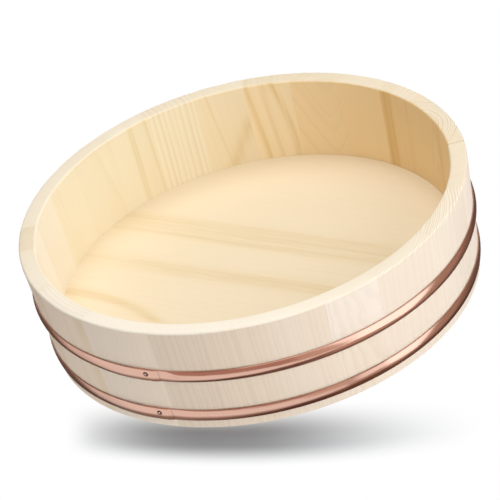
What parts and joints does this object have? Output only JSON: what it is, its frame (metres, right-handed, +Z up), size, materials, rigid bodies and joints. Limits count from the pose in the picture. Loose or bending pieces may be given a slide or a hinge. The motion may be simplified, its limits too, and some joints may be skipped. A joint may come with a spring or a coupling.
{
  "type": "sushi rice tub",
  "caption": "Round shallow wooden rice tub of pegged staves with a boarded bottom, bound by crowned copper hoops.",
  "frame": {"origin": "centre of the base, on the plane that the tub stands on", "axes": "+Z up along the tub's axis; -Y towards the picture's camera; +X to the right"},
  "size_m": [0.3297, 0.3298, 0.0862],
  "materials": {
    "stave_wood": "planed bare softwood",
    "bottom_wood": "planed bare softwood",
    "bamboo": "split bamboo",
    "hoop_copper": "satin copper",
    "nail_copper": "satin copper"
  },
  "bodies": {
    "root": {"stave_01": "stave_wood", "stave_02": "stave_wood", "stave_03": "stave_wood", "stave_04": "stave_wood", "stave_05": "stave_wood", "stave_06": "stave_wood", "stave_07": "stave_wood", "stave_08": "stave_wood", "stave_09": "stave_wood", "stave_10": "stave_wood", "stave_11": "stave_wood", "stave_12": "stave_wood", "stave_13": "stave_wood", "stave_14": "stave_wood", "stave_15": "stave_wood", "stave_16": "stave_wood", "stave_17": "stave_wood", "stave_18": "stave_wood", "stave_19": "stave_wood", "stave_20": "stave_wood", "stave_21": "stave_wood", "bottom_board_1": "bottom_wood", "bottom_board_2": "bottom_wood", "bottom_board_3": "bottom_wood", "bottom_board_4": "bottom_wood", "stave_peg_01": "bamboo", "stave_peg_02": "bamboo", "stave_peg_03": "bamboo", "stave_peg_04": "bamboo", "stave_peg_05": "bamboo", "stave_peg_06": "bamboo", "stave_peg_07": "bamboo", "stave_peg_08": "bamboo", "stave_peg_09": "bamboo", "stave_peg_10": "bamboo", "stave_peg_11": "bamboo", "stave_peg_12": "bamboo", "stave_peg_13": "bamboo", "stave_peg_14": "bamboo", "stave_peg_15": "bamboo", "stave_peg_16": "bamboo", "stave_peg_17": "bamboo", "stave_peg_18": "bamboo", "stave_peg_19": "bamboo", "stave_peg_20": "bamboo", "stave_peg_21": "bamboo", "board_peg_1_1": "bamboo", "board_peg_1_2": "bamboo", "board_peg_1_3": "bamboo", "board_peg_2_1": "bamboo", "board_peg_2_2": "bamboo", "board_peg_2_3": "bamboo", "board_peg_3_1": "bamboo", "board_peg_3_2": "bamboo", "board_peg_3_3": "bamboo", "upper_hoop": "hoop_copper", "lower_hoop": "hoop_copper", "upper_hoop_nail": "nail_copper", "lower_hoop_nail": "nail_copper"}
  },
  "joints": []
}
